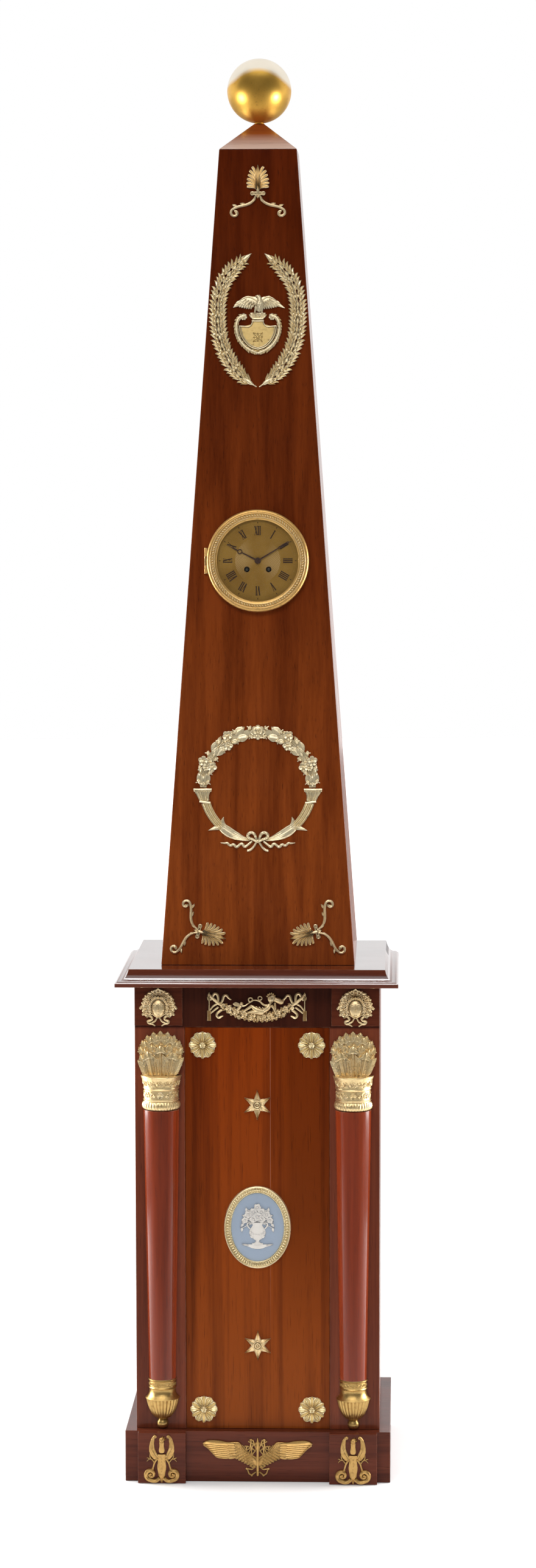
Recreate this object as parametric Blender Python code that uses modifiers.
# Obelisk floor clock in mahogany with gilt mounts, after the Empire style.
# Metres, +Z up, front towards -Y, origin on the floor under the middle of the clock.

from math import atan2, cos, hypot, pi, radians, sin

import bmesh
import bpy
from mathutils import Matrix, Vector

# Case, driving sizes
plinth_width = 0.416
plinth_depth = 0.349
plinth_height = 0.081
block_width = 0.075
block_projection = 0.0135
pedestal_width = 0.382
pedestal_depth = 0.333
pedestal_height = 0.7045
board_thickness = 0.018
panel_width = 0.226
panel_recess = 0.0015
frieze_height = 0.066
frieze_block_width = 0.075
frieze_block_height = 0.063
frieze_block_proud = 0.003
slab_height = 0.026
slab_overhang = 0.029
slab_moulding = 0.0205
obelisk_width = 0.303
obelisk_depth = 0.290
obelisk_height = 1.270
obelisk_top_width = 0.121
obelisk_margin = 0.048
obelisk_board = 0.012
cap_height = 0.043
ball_diameter = 0.101
ball_neck_radius = 0.0075
ball_neck_height = 0.004

# Half-round quiver columns
column_spacing = 0.300
shaft_top_radius = 0.0292
shaft_foot_radius = 0.0212
quiver_foot_height = 0.0815
quiver_collar_height = 0.0535
arrow_fan_height = 0.075
arrow_fan_half_width = 0.0375
arrow_fan_thickness = 0.012

# Clock face and movement, along the sloping front
dial_height = 0.6325
seat_radius = 0.0795
seat_thickness = 0.0032
seat_bore_radius = 0.0465
movement_hole_radius = 0.0525
spigot_radius = 0.0515
dial_radius = 0.0665
dial_thickness = 0.0015
bezel_radius = 0.080
bezel_aperture_radius = 0.0638
bezel_thickness = 0.0105
glass_radius = 0.0668
glass_thickness = 0.0018
glass_dome = 0.004
winding_spacing = 0.034
winding_drop = 0.0135
winding_hole_radius = 0.0040
winding_arbor_radius = 0.0025
centre_hole_radius = 0.0045
hinge_knuckle_radius = 0.0030
hinge_knuckle_length = 0.040
minute_hand_length = 0.0585
minute_hand_angle = 59.0
hour_hand_length = 0.0550
hour_hand_angle = 297.0
hand_thickness = 0.0009
plate_radius = 0.0485
plate_thickness = 0.0022
plate_gap = 0.040
pillar_radius = 0.0030
pillar_circle_radius = 0.0430
barrel_radius = 0.0160
barrel_thickness = 0.018
pendulum_length = 0.250
pendulum_rod_radius = 0.0014
bob_radius = 0.025
bob_thickness = 0.011
bell_radius = 0.036
bell_depth = 0.018
bell_wall = 0.0016
escape_radius = 0.0105
escape_thickness = 0.0020
escape_teeth = 15

# Mounts
mask_radius = 0.0300
rosette_radius = 0.0210
star_radius = 0.0235
medallion_half_width = 0.0525
medallion_half_height = 0.0655
medallion_rim = 0.0110
rosette_spacing = 0.170
rosette_edge_height = 0.031
rosette_top_drop = 0.028
star_low_height = 0.1335
star_top_drop = 0.1225
medallion_centre_drop = 0.00255
swag_half_width = 0.0775
swag_height = 0.047
swag_centre_drop = 0.033
block_mount_half_width = 0.0272
block_mount_height = 0.0785
winged_mount_half_width = 0.0868
winged_mount_height = 0.0625
palmette_half_width = 0.0176
palmette_height = 0.044
palmette_arm_reach = 0.0455
top_palmette_drop = 0.0725
laurel_half_width = 0.0785
laurel_height = 0.2090
laurel_foot_share = 0.8168
laurel_leaf_reach = 0.0135
shield_half_width = 0.0353
shield_height = 0.0920
shield_foot_rise = 0.0510
eagle_half_width = 0.0420
wreath_height = 0.2800
wreath_radius = 0.0865
wreath_half_band = 0.0125
corner_palmette_spacing = 0.186
corner_palmette_height = 0.053
corner_palmette_tilt = 105.0
relief = 0.0045
block_mount_relief = 0.0055

# Fits
joint_gap = 0.0003
door_gap = 0.0016
running_gap = 0.0008
overrun = 0.010
layer_step = 0.0002

# Worked-out places
overall_depth = plinth_depth + block_projection + block_mount_relief
back_y = overall_depth / 2
plinth_front_y = back_y - plinth_depth
block_front_y = plinth_front_y - block_projection
pedestal_front_y = back_y - pedestal_depth
pedestal_top_z = plinth_height + pedestal_height
panel_top_z = pedestal_top_z - frieze_height
slab_front_y = pedestal_front_y - slab_overhang
slab_top_z = pedestal_top_z + slab_height
slab_half_width = pedestal_width / 2 + slab_overhang
obelisk_front_y = slab_front_y + slab_moulding + obelisk_margin
obelisk_back_y = obelisk_front_y + obelisk_depth
obelisk_axis_y = obelisk_front_y + obelisk_depth / 2
obelisk_base_z = slab_top_z + joint_gap
obelisk_top_z = obelisk_base_z + obelisk_height
front_lean = atan2((obelisk_depth - obelisk_top_width) / 2, obelisk_height)
panel_height = pedestal_height - frieze_height
star_high_height = panel_height - star_top_drop
medallion_height = (star_low_height + star_high_height) / 2 - medallion_centre_drop

# Drops on the sloping front are from the point one obelisk height up it
top_palmette_height = obelisk_height - top_palmette_drop

# The laurel's foot keeps its share of the free face between the bezel and the palmette
free_face_low = dial_height + bezel_radius
free_face_high = top_palmette_height - palmette_height
laurel_play = free_face_high - free_face_low - laurel_height
laurel_foot_height = free_face_low + laurel_foot_share * laurel_play
shield_foot_height = laurel_foot_height + shield_foot_rise

for stale in list(bpy.data.objects):
    bpy.data.objects.remove(stale, do_unlink=True)

clock = bpy.data.collections.new("obelisk_clock")
cutters = bpy.data.collections.new("cutters")
bpy.context.scene.collection.children.link(clock)
bpy.context.scene.collection.children.link(cutters)


# Finishes: name -> colour, metallic, roughness
def finish(name, colour, metallic, roughness):
    material = bpy.data.materials.new(name)
    material.use_nodes = True
    shader = material.node_tree.nodes["Principled BSDF"]
    shader.inputs["Base Color"].default_value = (*colour, 1.0)
    shader.inputs["Metallic"].default_value = metallic
    shader.inputs["Roughness"].default_value = roughness
    return material


mahogany = finish("mahogany", (0.23, 0.07, 0.025), 0.0, 0.25)
dark_mahogany = finish("dark_mahogany", (0.09, 0.022, 0.014), 0.0, 0.25)
shaft_mahogany = finish("shaft_mahogany", (0.16, 0.025, 0.018), 0.0, 0.15)
gilt = finish("gilt_bronze", (0.72, 0.52, 0.22), 1.0, 0.32)
brass = finish("brass", (0.70, 0.53, 0.25), 1.0, 0.30)
blued_steel = finish("blued_steel", (0.05, 0.06, 0.09), 1.0, 0.30)
steel = finish("steel", (0.45, 0.45, 0.44), 1.0, 0.35)
glass = finish("glass", (0.95, 0.97, 0.97), 0.0, 0.02)
cameo = finish("cameo", (0.42, 0.50, 0.56), 0.0, 0.45)


# Two carriers: the sloping obelisk front and the upright pedestal front.
# In both, x runs right, y up the face and z out of it.
def carrier(name, place, lean):
    empty = bpy.data.objects.new(name, None)
    empty.location = place
    empty.rotation_euler = (pi / 2 - lean, 0, 0)
    clock.objects.link(empty)
    return empty


obelisk_face = carrier("obelisk_face", (0, obelisk_front_y, obelisk_base_z), front_lean)
dial_axis = bpy.data.objects.new("dial_axis", None)
dial_axis.parent = obelisk_face
dial_axis.location = (0, dial_height, 0)
clock.objects.link(dial_axis)
pedestal_face = carrier("pedestal_face", (0, pedestal_front_y, plinth_height), 0)
block_face = carrier("block_face", (0, block_front_y, 0), 0)
plinth_face = carrier("plinth_face", (0, plinth_front_y, 0), 0)


# Shared makers
def place(name, mesh, material, parent=None, location=(0, 0, 0), smooth=False):
    obj = bpy.data.objects.new(name, mesh)
    mesh.materials.clear()
    mesh.materials.append(material)
    if smooth:
        mesh.shade_smooth()
        mesh.set_sharp_from_angle(angle=radians(35))
    obj.location = location
    obj.parent = parent
    clock.objects.link(obj)
    return obj


def block_mesh(name, low, high):
    mesh = bpy.data.meshes.new(name)
    bm = bmesh.new()
    bmesh.ops.create_cube(bm, size=1)
    size = Vector(high) - Vector(low)
    bmesh.ops.scale(bm, vec=size, verts=bm.verts)
    bmesh.ops.translate(bm, vec=(Vector(low) + Vector(high)) / 2, verts=bm.verts)
    bm.to_mesh(mesh)
    bm.free()
    return mesh


def tapered_mesh(name, foot, head, z_foot, z_head):
    """A board whose foot and head are rectangles (x low, x high, y low, y high)."""
    mesh = block_mesh(name, (-1, -1, -1), (1, 1, 1))
    for vertex in mesh.vertices:
        x_low, x_high, y_low, y_high = head if vertex.co.z > 0 else foot
        vertex.co = (
            x_high if vertex.co.x > 0 else x_low,
            y_high if vertex.co.y > 0 else y_low,
            z_head if vertex.co.z > 0 else z_foot,
        )
    return mesh


def turned_mesh(name, profile, steps):
    """Turned about z. The profile runs down its outer side, as (radius, height)."""
    mesh = bpy.data.meshes.new(name)
    links = [(i, i + 1) for i in range(len(profile) - 1)]
    mesh.from_pydata([(radius, 0, height) for radius, height in profile], links, [])
    helper = bpy.data.objects.new(name + "_profile", mesh)
    bpy.context.scene.collection.objects.link(helper)
    screw = helper.modifiers.new("Turn", "SCREW")
    screw.steps = steps
    screw.render_steps = steps
    screw.use_merge_vertices = True
    screw.merge_threshold = 0.00001
    bpy.context.view_layer.update()
    graph = bpy.context.evaluated_depsgraph_get()
    solid = bpy.data.meshes.new_from_object(helper.evaluated_get(graph))
    bpy.data.objects.remove(helper, do_unlink=True)
    bm = bmesh.new()
    bm.from_mesh(solid)
    bmesh.ops.remove_doubles(bm, verts=bm.verts, dist=joint_gap / 10)
    bmesh.ops.recalc_face_normals(bm, faces=bm.faces)
    bm.to_mesh(solid)
    bm.free()
    return solid


def bar(name, low, high, radius, steps):
    return turned_mesh(name, [(0, high), (radius, high), (radius, low), (0, low)], steps)


def halved(mesh, offset):
    """Keeps the part of a solid in front of y = offset, with a flat back."""
    bm = bmesh.new()
    bm.from_mesh(mesh)
    cut = bmesh.ops.bisect_plane(
        bm,
        geom=bm.verts[:] + bm.edges[:] + bm.faces[:],
        plane_co=(0, offset, 0),
        plane_no=(0, 1, 0),
        clear_outer=True,
    )
    rim = [e for e in cut["geom_cut"] if isinstance(e, bmesh.types.BMEdge)]
    bmesh.ops.edgenet_fill(bm, edges=rim)
    bmesh.ops.recalc_face_normals(bm, faces=bm.faces)
    bm.to_mesh(mesh)
    bm.free()
    return mesh


def corners_of(outline):
    """The outline without points that lie on a straight run."""
    kept = []
    for i, point in enumerate(outline):
        before = Vector(outline[i - 1]) - Vector(point)
        after = Vector(outline[(i + 1) % len(outline)]) - Vector(point)
        if abs(before.normalized().cross(after.normalized())) > 0.001:
            kept.append(point)
    return kept


def plate_mesh(name, outlines, low, high):
    """Flat outlines, the first one the rim and the rest holes, from z low to high."""
    curve = bpy.data.curves.new(name, "CURVE")
    curve.dimensions = "2D"
    curve.fill_mode = "BOTH"
    curve.extrude = (high - low) / 2
    for outline in map(corners_of, outlines):
        spline = curve.splines.new("POLY")
        spline.points.add(len(outline) - 1)
        for point, (x, y) in zip(spline.points, outline):
            point.co = (x, y, 0, 1)
        spline.use_cyclic_u = True
    helper = bpy.data.objects.new(name + "_outline", curve)
    bpy.context.scene.collection.objects.link(helper)
    bpy.context.view_layer.update()
    graph = bpy.context.evaluated_depsgraph_get()
    mesh = bpy.data.meshes.new_from_object(helper.evaluated_get(graph))
    bpy.data.objects.remove(helper, do_unlink=True)
    bm = bmesh.new()
    bm.from_mesh(mesh)
    bmesh.ops.remove_doubles(bm, verts=bm.verts, dist=joint_gap / 10)
    bmesh.ops.translate(bm, vec=(0, 0, (high + low) / 2), verts=bm.verts)
    bmesh.ops.recalc_face_normals(bm, faces=bm.faces)
    bm.to_mesh(mesh)
    bm.free()
    return mesh


def helper_of(obj, mesh, suffix):
    """A hidden helper in the same frame as obj, for its Boolean modifiers."""
    helper = bpy.data.objects.new(obj.name + suffix, mesh)
    helper.parent = obj.parent
    helper.location = obj.location
    helper.hide_render = True
    helper.display_type = "WIRE"
    cutters.objects.link(helper)
    return helper


def combine(obj, mesh, operation, suffix):
    helper = helper_of(obj, mesh, suffix)
    modifier = obj.modifiers.new(suffix.strip("_"), "BOOLEAN")
    modifier.operation = operation
    modifier.solver = "EXACT"
    modifier.object = helper
    return helper


def cut(obj, mesh, suffix):
    return combine(obj, mesh, "DIFFERENCE", suffix)


def join(obj, mesh, suffix):
    return combine(obj, mesh, "UNION", suffix)


def moved(mesh, offset):
    mesh.transform(Matrix.Translation(offset))
    return mesh


def circle(radius, count, centre=(0, 0)):
    turns = [2 * pi * i / count for i in range(count)]
    return [(centre[0] + radius * cos(t), centre[1] + radius * sin(t)) for t in turns]


def mirrored(half):
    """A closed outline from its right half, listed from the top to the foot."""
    left = [(-x, y) for x, y in reversed(half) if abs(x) > joint_gap]
    return half + left


def smooth_path(points, per_span):
    """Catmull-Rom points through the given ones, ends kept."""
    ends = [points[0]] + list(points) + [points[-1]]
    path = []
    for i in range(1, len(ends) - 2):
        before, start, end, after = (Vector(p) for p in ends[i - 1 : i + 3])
        for step in range(per_span):
            t = step / per_span
            curve = 2 * start + (end - before) * t
            curve += (2 * before - 5 * start + 4 * end - after) * t**2
            curve += (3 * start - before - 3 * end + after) * t**3
            path.append(tuple(curve / 2))
    return path + [tuple(points[-1])]


def strip_outline(path, widths):
    """A closed outline along a path, at half-width widths[i] on both sides."""
    right = []
    left = []
    last = len(path) - 1
    for i, (x, y) in enumerate(path):
        ahead = path[min(i + 1, last)]
        behind = path[max(i - 1, 0)]
        dx = ahead[0] - behind[0]
        dy = ahead[1] - behind[1]
        length = hypot(dx, dy)
        width_right, width_left = widths[i]
        right.append((x + dy / length * width_right, y - dx / length * width_right))
        left.append((x - dy / length * width_left, y + dx / length * width_left))
    return right + left[::-1]


def scaled(shares, width, height):
    return [(x * width, y * height) for x, y in shares]


# Plinth with its two corner blocks
def build_plinth():
    half = plinth_width / 2
    low = (-half, plinth_front_y, 0)
    high = (half, back_y, plinth_height - joint_gap)
    place("plinth", block_mesh("plinth", low, high), dark_mahogany)
    for side, name in ((-1, "plinth_block_left"), (1, "plinth_block_right")):
        centre = side * column_spacing / 2
        low = (centre - block_width / 2, block_front_y, 0)
        high = (centre + block_width / 2, plinth_front_y - joint_gap, plinth_height - joint_gap)
        place(name, block_mesh(name, low, high), dark_mahogany)


# Pedestal carcass: two sides, a back, the front frame and its panel
def build_pedestal():
    half = pedestal_width / 2
    top = pedestal_top_z - joint_gap
    side_front = pedestal_front_y + board_thickness + joint_gap
    for side, name in ((-1, "pedestal_side_left"), (1, "pedestal_side_right")):
        inner, outer = sorted((side * half, side * (half - board_thickness)))
        low = (inner, side_front, plinth_height)
        place(name, block_mesh(name, low, (outer, back_y, top)), mahogany)
    inner = half - board_thickness - joint_gap
    low = (-inner, back_y - board_thickness, plinth_height)
    place("pedestal_back", block_mesh("pedestal_back", low, (inner, back_y, top)), mahogany)
    low = (-half, pedestal_front_y, plinth_height)
    high = (half, pedestal_front_y + board_thickness, top)
    frame = place("front_frame", block_mesh("front_frame", low, high), dark_mahogany)
    low = (-panel_width / 2, pedestal_front_y - overrun, plinth_height - overrun)
    high = (panel_width / 2, pedestal_front_y + board_thickness + overrun, panel_top_z)
    cut(frame, block_mesh("panel_opening", low, high), "_opening")
    half_panel = panel_width / 2 - joint_gap
    low = (-half_panel, pedestal_front_y + panel_recess, plinth_height)
    high = (half_panel, pedestal_front_y + board_thickness, panel_top_z - joint_gap)
    place("front_panel", block_mesh("front_panel", low, high), mahogany)
    for side, name in ((-1, "frieze_block_left"), (1, "frieze_block_right")):
        centre = side * (half - frieze_block_width / 2)
        low = (
            centre - frieze_block_width / 2,
            pedestal_front_y - joint_gap - frieze_block_proud,
            pedestal_top_z - frieze_block_height - joint_gap,
        )
        high = (centre + frieze_block_width / 2, pedestal_front_y - joint_gap, top)
        place(name, block_mesh(name, low, high), dark_mahogany)


# Top slab: moulded on the front and both ends, flat at the back
slab_profile_shares = (
    # share of the slab's height up from its underside, share of the moulding's width set back
    (0.00, 0.10),
    (0.10, 0.08),
    (0.14, 0.00),
    (0.26, 0.00),
    (0.31, 0.10),
    (0.33, 0.42),
    (0.46, 0.42),
    (0.48, 0.60),
    (0.60, 0.74),
    (0.76, 0.90),
    (1.00, 1.00),
)


def build_slab():
    mesh = bpy.data.meshes.new("cornice_slab")
    bm = bmesh.new()

    def rim(height_share, set_back_share):
        half = slab_half_width - set_back_share * slab_moulding
        front = slab_front_y + set_back_share * slab_moulding
        z = pedestal_top_z + height_share * slab_height
        return [(-half, front, z), (half, front, z), (half, back_y, z), (-half, back_y, z)]

    face = bm.faces.new([bm.verts.new(corner) for corner in rim(*slab_profile_shares[0])])
    for height_share, set_back_share in slab_profile_shares[1:]:
        grown = bmesh.ops.extrude_face_region(bm, geom=[face])["geom"]
        if height_share > slab_profile_shares[1][0]:
            bm.faces.remove(face)
        face = next(f for f in grown if isinstance(f, bmesh.types.BMFace))
        for vertex, corner in zip(face.verts, rim(height_share, set_back_share)):
            vertex.co = corner
    bmesh.ops.recalc_face_normals(bm, faces=bm.faces)
    bm.to_mesh(mesh)
    bm.free()
    place("cornice_slab", mesh, mahogany)


# Obelisk: three fixed boards, a back door, the cap and the ball
def obelisk_section(share):
    """Half width, front y and back y of the obelisk at a share of its height."""
    half = (obelisk_width + (obelisk_top_width - obelisk_width) * share) / 2
    front = obelisk_front_y + (obelisk_depth - obelisk_top_width) / 2 * share
    back = obelisk_back_y - (obelisk_depth - obelisk_top_width) / 2 * share
    return half, front, back


def obelisk_board_mesh(name, corners, foot_z, head_z):
    """corners gives (x low, x high, y low, y high) from a section."""
    foot_share = (foot_z - obelisk_base_z) / obelisk_height
    head_share = (head_z - obelisk_base_z) / obelisk_height
    foot = corners(*obelisk_section(foot_share))
    head = corners(*obelisk_section(head_share))
    return tapered_mesh(name, foot, head, foot_z, head_z)


def build_obelisk():
    board = obelisk_board
    front = obelisk_board_mesh(
        "obelisk_front",
        lambda half, y_front, y_back: (-half, half, y_front, y_front + board),
        obelisk_base_z,
        obelisk_top_z,
    )
    front_board = place("obelisk_front", front, mahogany)
    hole = turned_mesh(
        "movement_hole",
        [
            (0, overrun),
            (movement_hole_radius, overrun),
            (movement_hole_radius, -board - overrun),
            (0, -board - overrun),
        ],
        32,
    )
    helper = cut(front_board, hole, "_movement_hole")
    helper.parent = dial_axis
    for side, name in ((-1, "obelisk_side_left"), (1, "obelisk_side_right")):

        def corners(half, y_front, y_back, side=side):
            x_low, x_high = sorted((side * half, side * (half - board)))
            return (x_low, x_high, y_front + board + joint_gap, y_back - board - joint_gap)

        mesh = obelisk_board_mesh(name, corners, obelisk_base_z, obelisk_top_z)
        place(name, mesh, mahogany)
    door = obelisk_board_mesh(
        "back_door",
        lambda half, y_front, y_back: (-half, half, y_back - board, y_back),
        obelisk_base_z + door_gap,
        obelisk_top_z - door_gap,
    )
    place("back_door", door, mahogany)
    half = obelisk_top_width / 2
    cap = tapered_mesh(
        "obelisk_cap",
        (-half, half, obelisk_axis_y - half, obelisk_axis_y + half),
        (
            -ball_neck_radius,
            ball_neck_radius,
            obelisk_axis_y - ball_neck_radius,
            obelisk_axis_y + ball_neck_radius,
        ),
        obelisk_top_z + joint_gap,
        obelisk_top_z + cap_height,
    )
    place("obelisk_cap", cap, dark_mahogany)
    radius = ball_diameter / 2
    seat = joint_gap
    centre = seat + ball_neck_height + radius
    profile = [(0, centre + radius)]
    steps = 14
    for i in range(1, steps):
        angle = pi / 2 - (pi - ball_neck_radius / radius) * i / steps
        profile.append((radius * cos(angle), centre + radius * sin(angle)))
    profile += [
        (ball_neck_radius, seat + ball_neck_height),
        (ball_neck_radius, seat),
        (0, seat),
    ]
    ball = turned_mesh("ball_finial", profile, 28)
    place("ball_finial", ball, gilt, location=(0, obelisk_axis_y, obelisk_top_z + cap_height), smooth=True)


# Back door hinge: one long knuckle on the left rear arris, along the door's pivot line
door_hinge_radius = 0.003
door_hinge_length = 0.900
door_hinge_middle = 0.600


def build_door_hinge():
    half, _, back = obelisk_section(0)
    foot = Vector((-half - door_hinge_radius, back, obelisk_base_z))
    half, _, back = obelisk_section(1)
    head = Vector((-half - door_hinge_radius, back, obelisk_top_z))
    pivot_line = head - foot
    turn = pivot_line.to_track_quat("Z", "Y").to_matrix().to_4x4()
    r = door_hinge_radius - joint_gap
    half_length = door_hinge_length / 2
    mesh = bar("door_hinge", -half_length, half_length, r, 12)
    hinge = place("door_hinge", mesh, brass, smooth=True)
    middle = foot + pivot_line * (door_hinge_middle / obelisk_height)
    hinge.matrix_world = Matrix.Translation(middle) @ turn


# Quiver half-columns, on the pedestal front; profiles as shares of the foot radius and height
quiver_foot_shares = (
    (1.13, 1.00),
    (1.13, 0.79),
    (0.99, 0.76),
    (1.02, 0.68),
    (1.31, 0.60),
    (1.30, 0.57),
    (1.17, 0.44),
    (0.88, 0.32),
    (0.42, 0.215),
    (0.34, 0.20),
)
quiver_collar_shares = (
    # share of the shaft's top radius, share of the collar's height
    (1.09, 1.00),
    (1.00, 0.86),
    (0.94, 0.66),
    (0.98, 0.62),
    (0.93, 0.58),
    (0.93, 0.34),
    (0.99, 0.27),
    (1.00, 0.12),
    (0.93, 0.00),
)
foot_ball_share = 0.45


def build_columns():
    collar_top = panel_height - arrow_fan_height
    collar_foot = collar_top - quiver_collar_height
    shaft_foot = quiver_foot_height + joint_gap
    for side, word in ((-1, "left"), (1, "right")):
        centre = (side * column_spacing / 2, pedestal_front_y - joint_gap, plinth_height)
        radius = shaft_foot_radius
        ball_radius = radius * foot_ball_share
        profile = [(0, quiver_foot_height)]
        profile += [(r * radius, z * quiver_foot_height) for r, z in quiver_foot_shares]
        for i in range(1, 6):
            angle = radians(60 - 30 * i)
            profile.append((ball_radius * cos(angle), ball_radius * (1 + sin(angle))))
        profile[-1] = (0, 0)
        name = "quiver_foot_" + word
        place(name, halved(turned_mesh(name, profile, 24), 0), gilt, location=centre, smooth=True)
        name = "quiver_shaft_" + word
        profile = [
            (0, collar_foot - joint_gap),
            (shaft_top_radius * quiver_collar_shares[-1][0], collar_foot - joint_gap),
            (shaft_foot_radius, shaft_foot),
            (0, shaft_foot),
        ]
        place(name, halved(turned_mesh(name, profile, 28), 0), shaft_mahogany, location=centre, smooth=True)
        name = "quiver_head_" + word
        profile = [(0, collar_top)]
        profile += [
            (r * shaft_top_radius, collar_foot + z * quiver_collar_height)
            for r, z in quiver_collar_shares
        ]
        profile.append((0, collar_foot))
        head = place(name, halved(turned_mesh(name, profile, 24), 0), gilt, location=centre, smooth=True)
        fan = plate_mesh("arrow_fan", [arrow_fan_outline()], joint_gap, arrow_fan_thickness)
        fan.transform(Matrix.Rotation(pi / 2, 4, "X"))
        moved(fan, (0, 0, collar_top - relief))
        join(head, fan, "_arrows")


arrow_fan_shares = (
    # right half from the middle: share of half width, share of height
    (0.00, 1.00),
    (0.10, 0.96),
    (0.20, 1.00),
    (0.30, 0.94),
    (0.44, 0.98),
    (0.52, 0.92),
    (0.68, 0.93),
    (0.74, 0.84),
    (0.90, 0.80),
    (0.86, 0.72),
    (0.98, 0.64),
    (0.92, 0.58),
    (1.00, 0.50),
    (0.88, 0.40),
    (0.94, 0.30),
    (0.80, 0.18),
    (0.74, 0.00),
)


def arrow_fan_outline():
    half = scaled(arrow_fan_shares, arrow_fan_half_width, arrow_fan_height - layer_step)
    half[-1] = (half[-1][0], -relief / 2)
    return mirrored(half)


# Dial, bezel and glass, all on the dial axis
def build_face():
    bore = [
        (spigot_radius, 0),
        (spigot_radius, -obelisk_board - plate_thickness),
        (seat_bore_radius, -obelisk_board - plate_thickness),
        (seat_bore_radius, joint_gap + seat_thickness),
        (seat_radius, joint_gap + seat_thickness),
        (seat_radius, joint_gap),
        (spigot_radius, joint_gap),
        (spigot_radius, 0),
    ]
    seat = place("bezel_seat", turned_mesh("bezel_seat", bore, 40), brass, dial_axis, smooth=True)
    knuckle = turned_mesh("knuckle", knuckle_profile(-1 / 6, 1 / 6), 12)
    knuckle.transform(Matrix.Rotation(-pi / 2, 4, "X"))
    join(seat, moved(knuckle, (hinge_x, 0, hinge_z)), "_knuckle")
    web = block_mesh(
        "seat_web",
        (hinge_x, -hinge_knuckle_length / 6, hinge_z - hinge_knuckle_radius + layer_step),
        (-seat_radius + relief, hinge_knuckle_length / 6, joint_gap + seat_thickness - layer_step),
    )
    join(seat, web, "_web")
    dial_back = joint_gap + seat_thickness + joint_gap
    holes = [
        circle(dial_radius, 48),
        circle(centre_hole_radius, 16),
        circle(winding_hole_radius, 16, (-winding_spacing / 2, -winding_drop)),
        circle(winding_hole_radius, 16, (winding_spacing / 2, -winding_drop)),
    ]
    dial = plate_mesh("dial_plate", holes, dial_back, dial_back + dial_thickness)
    place("dial_plate", dial, brass, dial_axis)
    build_bezel(dial_back)


hinge_x = -bezel_radius - hinge_knuckle_radius - joint_gap
hinge_z = joint_gap + seat_thickness + joint_gap / 2


def knuckle_profile(low_share, high_share):
    low = low_share * hinge_knuckle_length + joint_gap
    high = high_share * hinge_knuckle_length - joint_gap
    return [(0, high), (hinge_knuckle_radius, high), (hinge_knuckle_radius, low), (0, low)]


bezel_profile_shares = (
    # share of the ring's width out from the aperture, share of the bezel's thickness
    (0.00, 0.62),
    (0.10, 0.86),
    (0.22, 0.92),
    (0.30, 1.00),
    (0.50, 1.00),
    (0.58, 0.78),
    (0.76, 0.70),
    (0.82, 0.40),
    (1.00, 0.32),
    (1.00, 0.00),
)


def build_bezel(dial_back):
    width = bezel_radius - bezel_aperture_radius
    glass_back = dial_back + bezel_thickness * bezel_profile_shares[0][1] - glass_thickness - layer_step
    rim = [
        (bezel_aperture_radius + r * width, dial_back + z * bezel_thickness)
        for r, z in bezel_profile_shares
    ]
    under = dial_back + dial_thickness + joint_gap
    rebate = glass_radius + joint_gap
    rim += [
        (dial_radius + running_gap, dial_back),
        (dial_radius + running_gap, under),
        (rebate, under),
        (rebate, glass_back + glass_thickness + joint_gap),
        (bezel_aperture_radius, glass_back + glass_thickness + joint_gap),
    ]
    bezel = place("bezel_door", turned_mesh("bezel_door", rim + rim[:1], 48), gilt, dial_axis, smooth=True)
    for low_share, high_share, word in ((-1 / 2, -1 / 6, "_low"), (1 / 6, 1 / 2, "_high")):
        knuckle = turned_mesh("knuckle", knuckle_profile(low_share, high_share), 12)
        knuckle.transform(Matrix.Rotation(-pi / 2, 4, "X"))
        join(bezel, moved(knuckle, (hinge_x, 0, hinge_z)), word + "_knuckle")
        web = block_mesh(
            "bezel_web",
            (hinge_x, low_share * hinge_knuckle_length + joint_gap * 2, dial_back + layer_step),
            (
                -bezel_radius + relief,
                high_share * hinge_knuckle_length - joint_gap * 2,
                hinge_z + hinge_knuckle_radius - layer_step,
            ),
        )
        join(bezel, web, word + "_web")
    steps = 4
    dome = []
    for i in range(steps + 1):
        share = i / steps
        dome.append((glass_radius * share, glass_dome * (1 - share**2)))
    top = [(r, glass_back + glass_thickness + z) for r, z in dome]
    bottom = [(r, glass_back + z) for r, z in reversed(dome)]
    lens = turned_mesh("bezel_glass", top + bottom, 40)
    place("bezel_glass", lens, glass, dial_axis, smooth=True)


# Hands: each a flat outline with a boss, turned to the time shown
minute_hand_shares = (
    # share of the hand's length out, half width as a share of the length
    (-0.07, 0.050),
    (0.07, 0.050),
    (0.09, 0.022),
    (0.62, 0.014),
    (0.64, 0.030),
    (0.92, 0.030),
    (0.93, 0.012),
    (1.00, 0.004),
)
hour_hand_shares = (
    (-0.075, 0.060),
    (0.075, 0.060),
    (0.09, 0.024),
    (0.46, 0.018),
    (0.50, 0.075),
    (0.56, 0.100),
    (0.62, 0.075),
    (0.66, 0.030),
    (1.00, 0.005),
)


def hand_outline(shares, length):
    right = [(half * length, out * length) for out, half in shares]
    left = [(-x, y) for x, y in reversed(right)]
    return right + left


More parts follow.
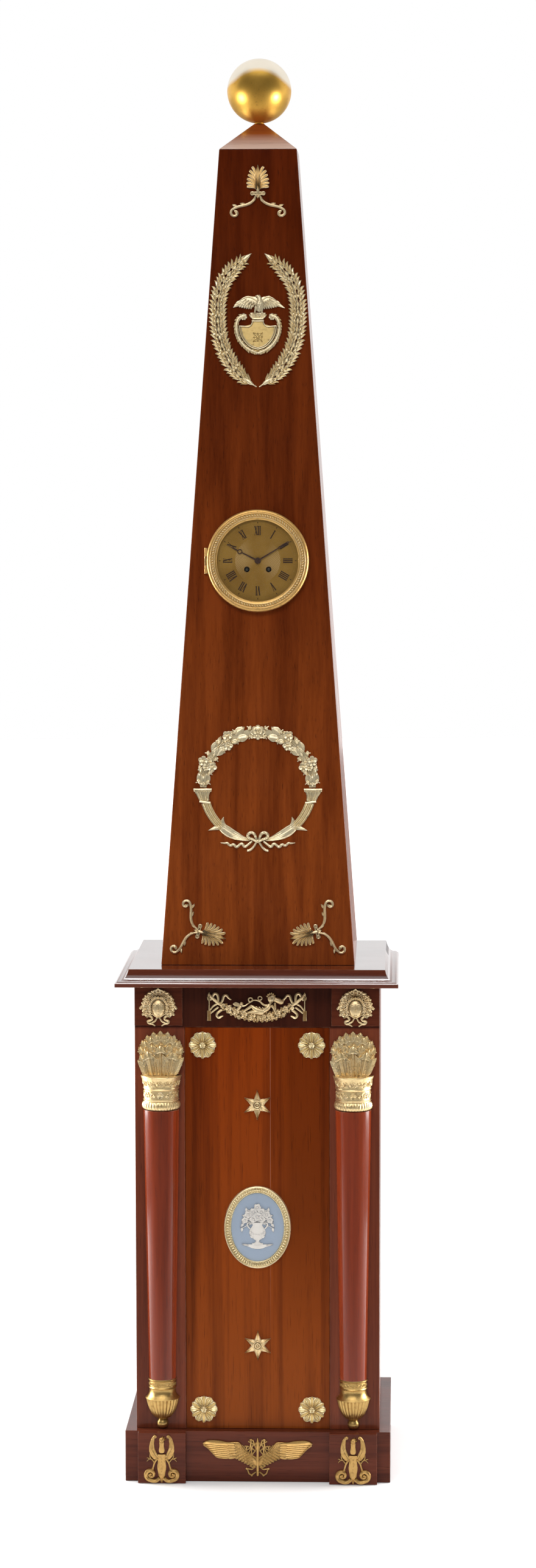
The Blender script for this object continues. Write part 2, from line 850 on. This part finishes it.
def build_hands():
    dial_top = joint_gap * 2 + seat_thickness + dial_thickness
    plate_front = -obelisk_board - plate_thickness - joint_gap
    pipe = centre_hole_radius - running_gap
    arbor = pipe / 2
    hour_z = dial_top + running_gap
    minute_z = hour_z + hand_thickness + running_gap
    hand = plate_mesh(
        "hour_hand",
        [hand_outline(hour_hand_shares, hour_hand_length), circle(arbor + joint_gap, 12)],
        hour_z,
        hour_z + hand_thickness,
    )
    hour = place("hour_hand", hand, blued_steel, dial_axis)
    ring = plate_mesh(
        "hour_pipe",
        [circle(pipe, 16), circle(arbor + joint_gap + layer_step / 4, 12)],
        plate_front + joint_gap,
        hour_z + hand_thickness / 2,
    )
    join(hour, ring, "_pipe")
    hour.rotation_euler = (0, 0, -radians(hour_hand_angle))
    hand = plate_mesh(
        "minute_hand",
        [hand_outline(minute_hand_shares, minute_hand_length)],
        minute_z,
        minute_z + hand_thickness,
    )
    minute = place("minute_hand", hand, blued_steel, dial_axis)
    spindle = turned_mesh(
        "minute_spindle",
        [
            (0, minute_z + hand_thickness * 2),
            (arbor, minute_z + hand_thickness * 2),
            (arbor, plate_front + joint_gap),
            (0, plate_front + joint_gap),
        ],
        12,
    )
    join(minute, spindle, "_spindle")
    minute.rotation_euler = (0, 0, -radians(minute_hand_angle))


# Movement: frame, barrels, arbors, escapement, bell and hammer
plate_front_z = -obelisk_board - plate_thickness - joint_gap
plate_back_z = plate_front_z - plate_thickness - plate_gap
escape_height = 0.0170
anchor_height = 0.0300
crutch_length = 0.030
pallet_gap = 0.0024
arbor_radius = 0.0010
bell_y = 0.0415
bell_stand_radius = 0.0020
bell_stand_off = 0.0330
hammer_x = 0.0405
hammer_y = -0.0050
hammer_head_radius = 0.0040
hammer_rest_gap = 0.0015


def build_movement():
    plates = plate_mesh(
        "movement_frame",
        [
            circle(plate_radius, 40),
            circle(winding_arbor_radius + joint_gap, 12, (-winding_spacing / 2, -winding_drop)),
            circle(winding_arbor_radius + joint_gap, 12, (winding_spacing / 2, -winding_drop)),
        ],
        plate_front_z - plate_thickness,
        plate_front_z,
    )
    frame = place("movement_frame", plates, brass, dial_axis)
    back = plate_mesh(
        "movement_back_plate",
        [
            circle(plate_radius, 40),
            circle(arbor_radius + joint_gap, 10, (0, anchor_height)),
            circle(arbor_radius + joint_gap, 10, (hammer_x, hammer_y)),
        ],
        plate_back_z - plate_thickness,
        plate_back_z,
    )
    join(frame, back, "_back_plate")
    for i in range(4):
        angle = radians(45 + 90 * i)
        pillar = bar(
            "pillar",
            plate_back_z - plate_thickness / 2,
            plate_front_z - plate_thickness / 2,
            pillar_radius,
            10,
        )
        offset = (pillar_circle_radius * cos(angle), pillar_circle_radius * sin(angle), 0)
        join(frame, moved(pillar, offset), f"_pillar_{i + 1}")
    stand_low = plate_back_z - plate_thickness - bell_stand_off
    stand = bar("bell_stand", stand_low, plate_back_z - plate_thickness / 2, bell_stand_radius, 10)
    join(frame, moved(stand, (0, bell_y, 0)), "_bell_stand")
    for side, word in ((-1, "strike"), (1, "going")):
        centre = Vector((side * winding_spacing / 2, -winding_drop, 0))
        top = plate_front_z - plate_thickness - running_gap
        barrel = plate_mesh(
            word + "_barrel",
            [circle(barrel_radius, 32), circle(winding_arbor_radius + joint_gap, 12)],
            top - barrel_thickness,
            top,
        )
        place(word + "_barrel", barrel, brass, dial_axis, centre)
        dial_top = joint_gap * 2 + seat_thickness + dial_thickness
        arbor = bar(word + "_arbor", plate_back_z + joint_gap, dial_top - joint_gap, winding_arbor_radius, 8)
        place(word + "_arbor", arbor, steel, dial_axis, centre)
    build_escapement()
    build_bell(stand_low)


def build_escapement():
    teeth = []
    for i in range(escape_teeth):
        turn = 2 * pi * i / escape_teeth
        for share, radius in ((0.0, 1.0), (0.12, 1.0), (0.5, 0.78)):
            angle = turn + 2 * pi / escape_teeth * share
            teeth.append((escape_radius * radius * cos(angle), escape_radius * radius * sin(angle)))
    middle = (plate_front_z - plate_thickness + plate_back_z) / 2
    wheel = plate_mesh("escape_wheel", [teeth], middle - escape_thickness / 2, middle + escape_thickness / 2)
    wheel_obj = place("escape_wheel", wheel, brass, dial_axis, (0, escape_height, 0))
    staff = bar(
        "escape_staff",
        plate_back_z + joint_gap,
        plate_front_z - plate_thickness - joint_gap,
        arbor_radius,
        10,
    )
    join(wheel_obj, staff, "_staff")
    reach = anchor_height - escape_height
    inner = escape_radius + pallet_gap
    left_tip = (-inner * cos(radians(50)), inner * sin(radians(50)) - reach)
    right_tip = (-left_tip[0], left_tip[1])
    width = arbor_radius * 1.4
    path = [left_tip, (left_tip[0] * 1.15, -width), (0, width), (right_tip[0] * 1.15, -width), right_tip]
    outline = strip_outline(path, [(width * 0.6, width * 0.6)] * 5)
    half_depth = escape_thickness / 3
    anchor_mesh = plate_mesh("anchor", [outline], middle - half_depth, middle + half_depth)
    anchor = place("anchor", anchor_mesh, steel, dial_axis, (0, anchor_height, 0))
    crutch_z = plate_back_z - plate_thickness - running_gap
    staff = bar(
        "anchor_staff",
        crutch_z - hand_thickness * 2,
        plate_front_z - plate_thickness - joint_gap,
        arbor_radius,
        10,
    )
    join(anchor, staff, "_staff")
    crutch = block_mesh(
        "crutch",
        (-arbor_radius * 0.8, -crutch_length, crutch_z - hand_thickness * 1.5),
        (arbor_radius * 0.8, arbor_radius / 2, crutch_z - hand_thickness / 2),
    )
    join(anchor, crutch, "_crutch")


# Pendulum: hangs plumb behind the back plate, on the line of the anchor's staff
def anchor_world():
    normal = Vector((0, -cos(front_lean), sin(front_lean)))
    up = Vector((0, sin(front_lean), cos(front_lean)))
    foot = Vector((0, obelisk_front_y, obelisk_base_z))
    return foot + up * (dial_height + anchor_height), normal


def build_pendulum():
    on_face, normal = anchor_world()
    hang = plate_back_z - plate_thickness - running_gap - hand_thickness * 2 - joint_gap - pendulum_rod_radius
    point = on_face + normal * hang
    rod = bar("pendulum", -pendulum_length, pendulum_rod_radius * 2, pendulum_rod_radius, 10)
    pendulum = place("pendulum", rod, brass, location=point, smooth=True)
    rim = bob_thickness / 6
    bob = turned_mesh(
        "bob",
        [
            (0, bob_thickness / 2),
            (bob_radius * 0.6, bob_thickness * 0.42),
            (bob_radius, rim),
            (bob_radius, -rim),
            (bob_radius * 0.6, -bob_thickness * 0.42),
            (0, -bob_thickness / 2),
        ],
        24,
    )
    bob.transform(Matrix.Rotation(pi / 2, 4, "X"))
    join(pendulum, moved(bob, (0, 0, -pendulum_length + bob_radius / 2)), "_bob")


def build_bell(stand_low):
    crown = stand_low + bell_stand_radius
    inner = (
        (bell_stand_radius + joint_gap, 0.0),
        (bell_radius * 0.55, 0.0),
        (bell_radius * 0.84, bell_depth * 0.25),
        (bell_radius - bell_wall, bell_depth),
    )
    outer = (
        (bell_radius, bell_depth),
        (bell_radius * 0.90, bell_depth * 0.22 - bell_wall),
        (bell_radius * 0.58, -bell_wall),
        (bell_stand_radius + joint_gap, -bell_wall),
    )
    profile = [(r, crown + z) for r, z in inner + outer + inner[:1]]
    place("bell", turned_mesh("bell", profile, 32), brass, dial_axis, (0, bell_y, 0), smooth=True)
    strike_z = crown + bell_depth - bell_wall
    hammer = bar(
        "hammer",
        strike_z - bell_wall,
        plate_back_z + joint_gap,
        arbor_radius,
        10,
    )
    hammer_obj = place("hammer", hammer, steel, dial_axis, (hammer_x, hammer_y, 0))
    head_x = bell_radius + hammer_rest_gap + hammer_head_radius - hammer_x
    head_y = bell_y - hammer_y
    arm = strip_outline([(0, 0), (head_x, head_y)], [(arbor_radius, arbor_radius)] * 2)
    arm_high = strike_z + arbor_radius
    join(hammer_obj, plate_mesh("hammer_arm", [arm], strike_z - arbor_radius, arm_high), "_arm")
    head = bar("hammer_head", strike_z - bell_wall * 2, arm_high + bell_wall, hammer_head_radius, 12)
    join(hammer_obj, moved(head, (head_x, head_y, 0)), "_head")


# Mounts: flat-backed castings, each one or more outlines at its own thickness
def casting(name, carrier_empty, centre, layers, tilt=0, finish_of=gilt):
    base = plate_mesh(name, layers[0][0], joint_gap, joint_gap + layers[0][1])
    mount = place(name, base, finish_of, carrier_empty, (*centre, 0))
    mount.rotation_euler = (0, 0, radians(tilt))
    for i, (outlines, thickness) in enumerate(layers[1:], 1):
        low = joint_gap + layer_step * i
        layer = plate_mesh(f"{name}_layer", outlines, low, low + thickness)
        join(mount, layer, f"_layer_{i}").rotation_euler = mount.rotation_euler
    return mount


def dome_on(mount, centre, radius, stretch, height, steps, suffix):
    """A low dome joined on a casting, longer by stretch along its y."""
    rings = 3
    foot = joint_gap * 2
    profile = [(0, foot + height)]
    for i in range(1, rings):
        angle = pi / 2 * (1 - i / rings)
        profile.append((radius * cos(angle), foot + height * sin(angle)))
    profile += [(radius, foot), (0, foot)]
    mesh = turned_mesh("dome", profile, steps)
    mesh.transform(Matrix.Diagonal((1, stretch, 1, 1)))
    moved(mesh, (*centre, 0))
    join(mount, mesh, suffix).rotation_euler = mount.rotation_euler


def wavy_outline(radius, depth_share, waves, count, stretch=1):
    """A round outline with rounded lobes."""
    points = []
    for i in range(count):
        turn = 2 * pi * i / count
        r = radius * (1 - depth_share / 2 + depth_share / 2 * cos(waves * turn))
        points.append((r * sin(turn), r * cos(turn) * stretch))
    return points


palmette_lobes = 13
palmette_arm_shares = (
    # share of the arm's reach, share of the palmette's height below the binding
    (0.06, 0.05),
    (0.16, 0.22),
    (0.35, 0.335),
    (0.60, 0.345),
    (0.82, 0.40),
    (0.95, 0.54),
    (0.90, 0.68),
    (0.79, 0.66),
)
palmette_arm_width_shares = (0.05, 0.045, 0.045, 0.05, 0.045, 0.04, 0.06, 0.06)


def palmette_outline():
    points = [(-palmette_half_width * 0.2, 0)]
    sweep = radians(118)
    for i in range(palmette_lobes * 2 - 1):
        angle = -sweep + 2 * sweep * i / (palmette_lobes * 2 - 2)
        reach = 1.0 if i % 2 == 0 else 0.84
        points.append(
            (
                palmette_half_width * reach * sin(angle),
                palmette_height * (0.45 + 0.55 * reach * cos(angle)),
            )
        )
    points.append((palmette_half_width * 0.2, 0))
    return points


def palmette_mount(name, centre, tilt):
    binding = wavy_outline(palmette_half_width * 0.62, 0, 0, 12, 0.42)
    arm = [(x * palmette_arm_reach, -y * palmette_height) for x, y in palmette_arm_shares]
    widths = [(w * palmette_arm_reach,) * 2 for w in palmette_arm_width_shares]
    right = strip_outline(arm, widths)
    left = [(-x, y) for x, y in right]
    layers = [
        ([palmette_outline()], relief * 0.7),
        ([binding], relief * 1.3),
        ([right], relief * 0.9),
        ([left], relief * 0.9 + layer_step),
    ]
    casting(name, obelisk_face, centre, layers, tilt)


laurel_path_shares = (
    # share of the half width, share of the height; from the tip to the tie
    (0.13, 1.000),
    (0.25, 0.950),
    (0.45, 0.895),
    (0.64, 0.820),
    (0.745, 0.730),
    (0.79, 0.637),
    (0.795, 0.545),
    (0.78, 0.442),
    (0.74, 0.350),
    (0.65, 0.258),
    (0.50, 0.166),
    (0.31, 0.086),
    (0.03, 0.005),
)
laurel_width_shares = (0.12, 0.30, 0.75, 0.92, 1.0, 1.08, 1.08, 1.0, 1.0, 0.95, 0.85, 0.65, 0.20)


def laurel_mount():
    path = smooth_path(scaled(laurel_path_shares, laurel_half_width, laurel_height), 2)
    widths = []
    for i in range(len(path)):
        share = laurel_width_shares[i // 2]
        notch = 1.0 if i % 2 else 0.74
        widths.append((laurel_leaf_reach * share * notch,) * 2)
    right = strip_outline(path, widths)
    left = [(-x, y) for x, y in right]
    tie = wavy_outline(laurel_leaf_reach * 0.5, 0, 0, 10)
    layers = [
        ([right], relief),
        ([left], relief + layer_step),
        ([[(x, y + laurel_leaf_reach * 0.2) for x, y in tie]], relief * 1.1),
    ]
    casting("laurel_branches", obelisk_face, (0, laurel_foot_height), layers)


shield_shares = (
    # right half from the crown to the foot
    (0.00, 0.740),
    (0.28, 0.740),
    (0.31, 0.650),
    (0.24, 0.580),
    (0.36, 0.520),
    (0.48, 0.550),
    (0.50, 0.660),
    (0.66, 0.720),
    (0.84, 0.660),
    (0.98, 0.540),
    (1.00, 0.400),
    (0.94, 0.260),
    (0.76, 0.130),
    (0.42, 0.030),
    (0.00, 0.000),
)
shield_plate_shares = (
    (0.00, 0.540),
    (0.30, 0.470),
    (0.74, 0.480),
    (0.72, 0.280),
    (0.44, 0.120),
    (0.00, 0.070),
)
eagle_shares = (
    # share of the wing's half span, share of the shield's height; head to its own right
    (-0.92, 0.795),
    (-0.60, 0.875),
    (-0.40, 0.918),
    (-0.20, 0.910),
    (-0.07, 0.860),
    (-0.02, 0.915),
    (-0.11, 0.975),
    (0.02, 1.000),
    (0.13, 0.980),
    (0.14, 0.910),
    (0.20, 0.870),
    (0.33, 0.918),
    (0.57, 0.912),
    (0.76, 0.870),
    (1.00, 0.788),
    (0.71, 0.798),
    (0.43, 0.790),
    (0.26, 0.826),
    (0.22, 0.760),
    (0.12, 0.715),
    (-0.14, 0.712),
    (-0.19, 0.760),
    (-0.24, 0.815),
    (-0.48, 0.782),
    (-0.71, 0.793),
)


def shield_mount():
    rim = mirrored(scaled(shield_shares, shield_half_width, shield_height))
    plate = mirrored(scaled(shield_plate_shares, shield_half_width, shield_height))
    bird = scaled(eagle_shares, eagle_half_width, shield_height)
    layers = [([rim], relief), ([bird], relief * 1.2)]
    mount = casting("eagle_shield", obelisk_face, (0, shield_foot_height), layers)
    cut(mount, plate_mesh("plate", [plate], joint_gap + relief * 0.6, relief * 3), "_plate")
    mount.modifiers[-1].object.rotation_euler = mount.rotation_euler


wreath_band_shares = (
    # degrees from the top, inner and outer half band as shares
    (0, 1.05, 1.05),
    (12, 0.80, 0.85),
    (25, 0.80, 0.85),
    (33, 1.25, 1.10),
    (45, 0.80, 0.80),
    (55, 0.75, 0.80),
    (64, 1.20, 1.15),
    (76, 0.80, 0.80),
    (88, 0.95, 0.85),
    (90, 1.15, 1.20),
    (94, 1.10, 1.15),
    (98, 0.80, 0.75),
    (107, 0.60, 0.60),
    (108, 0.75, 0.72),
    (111, 0.72, 0.70),
    (114, 0.58, 0.60),
    (126, 0.62, 0.66),
    (134, 0.66, 0.80),
    (138, 1.65, 0.80),
    (141, 0.95, 1.60),
    (146, 0.85, 0.85),
    (153, 0.75, 1.45),
    (157, 0.70, 0.90),
    (168, 0.60, 0.95),
    (174, 1.45, 0.80),
    (180, 0.90, 0.80),
)


def wreath_mount():
    outer = []
    inner = []
    half = [(radians(a), i, o) for a, i, o in wreath_band_shares]
    whole = half + [(2 * pi - a, i, o) for a, i, o in reversed(half[1:-1])]
    for angle, inner_share, outer_share in whole:
        r = wreath_radius + wreath_half_band * outer_share
        outer.append((r * sin(angle), r * cos(angle)))
        r = wreath_radius - wreath_half_band * inner_share
        inner.append((r * sin(angle), r * cos(angle)))
    casting("torch_wreath", obelisk_face, (0, wreath_height), [([outer, inner], relief)])


def build_obelisk_mounts():
    palmette_mount("top_palmette", (0, top_palmette_height), 0)
    laurel_mount()
    shield_mount()
    wreath_mount()
    half = corner_palmette_spacing / 2
    palmette_mount("corner_palmette_left", (-half, corner_palmette_height), -corner_palmette_tilt)
    palmette_mount("corner_palmette_right", (half, corner_palmette_height), corner_palmette_tilt)


mask_tail_shares = ((0.28, -0.62), (0.42, -0.80), (0.36, -0.95), (0.16, -1.05))


def mask_mount(name, side):
    centre_x = side * (pedestal_width - frieze_block_width) / 2
    centre_y = pedestal_height - frieze_block_height / 2 + joint_gap
    hair = []
    count = 36
    for i in range(count):
        turn = 2 * pi * i / count
        scallop = 0.92 + 0.08 * cos(9 * turn)
        reach = mask_radius * scallop * (1.0 if cos(turn) > -0.4 else 0.78)
        hair.append((reach * sin(turn), reach * cos(turn)))
    tail = strip_outline(
        scaled(mask_tail_shares, mask_radius, mask_radius),
        [(mask_radius * 0.07, mask_radius * 0.07)] * len(mask_tail_shares),
    )
    layers = [([hair], relief), ([tail], relief), ([[(-x, y) for x, y in tail]], relief + layer_step)]
    mount = casting(name, pedestal_face, (centre_x, centre_y), layers)
    face = (0, -mask_radius * 0.12)
    dome_on(mount, face, mask_radius * 0.40, 1.35, relief * 2.6, 16, "_face")
    lift = frieze_block_proud + joint_gap
    mount.location.z = lift
    for modifier in mount.modifiers:
        modifier.object.location.z = lift


swag_path_shares = (
    # share of the half width, share of the height about its middle
    (-0.86, 0.24),
    (-0.67, 0.06),
    (-0.48, -0.14),
    (-0.26, -0.34),
    (0.02, -0.43),
    (0.32, -0.36),
    (0.54, -0.14),
    (0.72, 0.06),
    (0.88, 0.28),
)
swag_width_shares = (0.06, 0.11, 0.13, 0.13, 0.11, 0.13, 0.13, 0.10, 0.06)
post_shares = ((0.965, -0.50), (0.955, 0.00), (0.93, 0.34), (0.92, 0.50))
post_width_shares = (0.07, 0.06, 0.03, 0.012)
link_shares = ((0.84, 0.22), (0.96, 0.10))
loop_shares = ((0.72, 0.16), (0.73, 0.34), (0.79, 0.45), (0.86, 0.42), (0.89, 0.30))
figure_shares = (
    (-0.30, -0.22),
    (-0.18, -0.04),
    (-0.06, 0.10),
    (0.05, 0.06),
    (0.13, 0.02),
    (0.18, 0.16),
    (0.20, 0.34),
    (0.27, 0.44),
    (0.35, 0.40),
    (0.38, 0.26),
    (0.47, 0.20),
    (0.51, 0.10),
    (0.42, 0.02),
    (0.38, -0.16),
    (0.30, -0.34),
    (0.00, -0.34),
)


def swag_mount():
    garland = strip_outline(
        scaled(swag_path_shares, swag_half_width, swag_height),
        [(w * swag_height,) * 2 for w in swag_width_shares],
    )
    layers = [([garland], relief), ([scaled(figure_shares, swag_half_width, swag_height)], relief * 1.6)]
    loop_width = (swag_height * 0.035,) * 2
    for side in (-1, 1):
        post = strip_outline(
            scaled(post_shares, side * swag_half_width, swag_height),
            [(w * swag_height,) * 2 for w in post_width_shares],
        )
        layers.append(([post], relief * 0.9 + layer_step * side))
        loop = scaled(loop_shares, side * swag_half_width, swag_height)
        layers.append(([strip_outline(loop, [loop_width] * len(loop))], relief * 0.8))
        link = scaled(link_shares, side * swag_half_width, swag_height)
        layers.append(([strip_outline(link, [loop_width] * 2)], relief * 0.7))
    centre = (0, pedestal_height - swag_centre_drop)
    casting("frieze_swag", pedestal_face, centre, layers)


def rosette_mount(name, centre):
    petals = wavy_outline(rosette_radius, 0.05, 6, 36)
    mount = casting(name, pedestal_face, centre, [([petals], relief * 0.8)])
    dome_on(mount, (0, 0), rosette_radius * 0.8, 1, relief * 1.5, 18, "_petals")
    mount.location.z -= panel_recess
    for modifier in mount.modifiers:
        modifier.object.location.z -= panel_recess


def star_mount(name, centre):
    mesh = bpy.data.meshes.new(name)
    bm = bmesh.new()
    bmesh.ops.create_cone(
        bm,
        cap_ends=True,
        segments=12,
        radius1=star_radius,
        radius2=star_radius * 0.16,
        depth=relief * 1.3,
    )
    for vertex in bm.verts:
        turn = round(atan2(vertex.co.x, vertex.co.y) / (pi / 6))
        if turn % 2 and vertex.co.z < 0:
            vertex.co.x *= 0.40
            vertex.co.y *= 0.40
        vertex.co.z += relief * 0.65 + joint_gap
    bm.to_mesh(mesh)
    bm.free()
    place(name, mesh, gilt, pedestal_face, (*centre, -panel_recess))


urn_shares = (
    (0.00, 0.52),
    (0.10, 0.46),
    (0.12, 0.34),
    (0.30, 0.30),
    (0.34, 0.12),
    (0.26, -0.12),
    (0.08, -0.26),
    (0.08, -0.36),
    (0.22, -0.44),
    (0.22, -0.52),
    (0.00, -0.52),
)


def medallion():
    centre = (0, medallion_height, -panel_recess)
    stretch = medallion_half_height / medallion_half_width
    inner = medallion_half_width - medallion_rim
    low = joint_gap
    profile = [
        (inner, low + relief * 0.8),
        (inner + medallion_rim * 0.20, low + relief * 1.1),
        (inner + medallion_rim * 0.50, low + relief * 1.9),
        (inner + medallion_rim * 0.80, low + relief * 1.2),
        (medallion_half_width, low + relief * 0.7),
        (medallion_half_width, low),
        (inner, low),
    ]
    frame = turned_mesh("medallion_frame", profile + profile[:1], 44)
    frame.transform(Matrix.Diagonal((1, stretch, 1, 1)))
    place("medallion_frame", frame, gilt, pedestal_face, centre, smooth=True)
    half = inner - joint_gap
    oval = [(x, y * stretch) for x, y in circle(half, 40)]
    plaque = casting(
        "medallion_plaque",
        pedestal_face,
        (0, medallion_height),
        [([oval], relief * 0.5), ([mirrored(scaled(urn_shares, half, half * stretch))], relief * 0.7)],
        finish_of=cameo,
    )
    plaque.location.z -= panel_recess
    plaque.modifiers[-1].object.location.z -= panel_recess


term_body_shares = (
    # right half: share of half width, share of height
    (0.00, 0.955),
    (0.26, 0.930),
    (0.16, 0.840),
    (0.14, 0.620),
    (0.26, 0.540),
    (0.22, 0.400),
    (0.24, 0.260),
    (0.16, 0.120),
    (0.07, 0.000),
)
term_wing_shares = ((0.28, 0.52), (0.56, 0.66), (0.60, 0.84), (0.46, 0.99))
term_wing_width_shares = (0.17, 0.17, 0.13, 0.04)
term_foot_shares = ((0.10, 0.10), (0.45, 0.07), (0.80, 0.08), (0.88, 0.20), (0.68, 0.27), (0.52, 0.20))
term_foot_width_shares = (0.10, 0.13, 0.14, 0.12, 0.10, 0.08)
term_arm_shares = ((0.22, 0.48), (0.48, 0.32), (0.50, 0.22))
term_arm_width_shares = (0.06, 0.06, 0.06)


def block_mount(name, side):
    width, height = block_mount_half_width, block_mount_height
    thickness = block_mount_relief - joint_gap - layer_step * 7
    layers = [([mirrored(scaled(term_body_shares, width, height))], thickness)]
    for flip in (-1, 1):
        for shares, widths in (
            (term_wing_shares, term_wing_width_shares),
            (term_foot_shares, term_foot_width_shares),
            (term_arm_shares, term_arm_width_shares),
        ):
            path = [(flip * x * width, y * height) for x, y in shares]
            strip = strip_outline(path, [(w * width,) * 2 for w in widths])
            layers.append(([strip], thickness))
    casting(name, block_face, (side * column_spacing / 2, joint_gap * 3), layers)


wing_shares = (
    # left half outline mirrored to the right: share of half width, share of half height
    (0.00, 1.00),
    (0.035, 0.80),
    (0.04, 0.15),
    (0.10, 0.10),
    (0.25, 0.36),
    (0.36, 0.75),
    (0.64, 0.66),
    (1.00, 0.60),
    (0.91, 0.30),
    (0.78, 0.06),
    (0.60, -0.13),
    (0.38, -0.23),
    (0.21, -0.36),
    (0.11, -0.50),
    (0.04, -0.54),
    (0.035, -0.90),
    (0.00, -1.00),
)
bolt_shares = ((-0.13, 0.88), (-0.02, 0.45), (-0.09, 0.05), (0.03, -0.50), (0.14, -0.95))


def winged_mount():
    width, half_height = winged_mount_half_width, winged_mount_height / 2
    layers = [([mirrored(scaled(wing_shares, width, half_height))], relief)]
    bolt_width = (width * 0.012,) * 2
    for flip in (-1, 1):
        path = [(flip * x * width, y * half_height) for x, y in bolt_shares]
        layers.append(([strip_outline(path, [bolt_width] * len(path))], relief * 0.8))
    casting("winged_thunderbolt", plinth_face, (0, plinth_height / 2), layers)


def build_pedestal_mounts():
    mask_mount("frieze_mask_left", -1)
    mask_mount("frieze_mask_right", 1)
    swag_mount()
    rows = (("lower", rosette_edge_height), ("upper", panel_height - rosette_top_drop))
    for row, height in rows:
        for side, word in ((-1, "left"), (1, "right")):
            rosette_mount(f"rosette_{row}_{word}", (side * rosette_spacing / 2, height))
    star_mount("star_lower", (0, star_low_height))
    star_mount("star_upper", (0, star_high_height))
    medallion()
    block_mount("term_mount_left", -1)
    block_mount("term_mount_right", 1)
    winged_mount()


build_plinth()
build_pedestal()
build_slab()
build_columns()
build_pedestal_mounts()
build_obelisk()
build_door_hinge()
build_obelisk_mounts()
build_face()
build_hands()
build_movement()
build_pendulum()
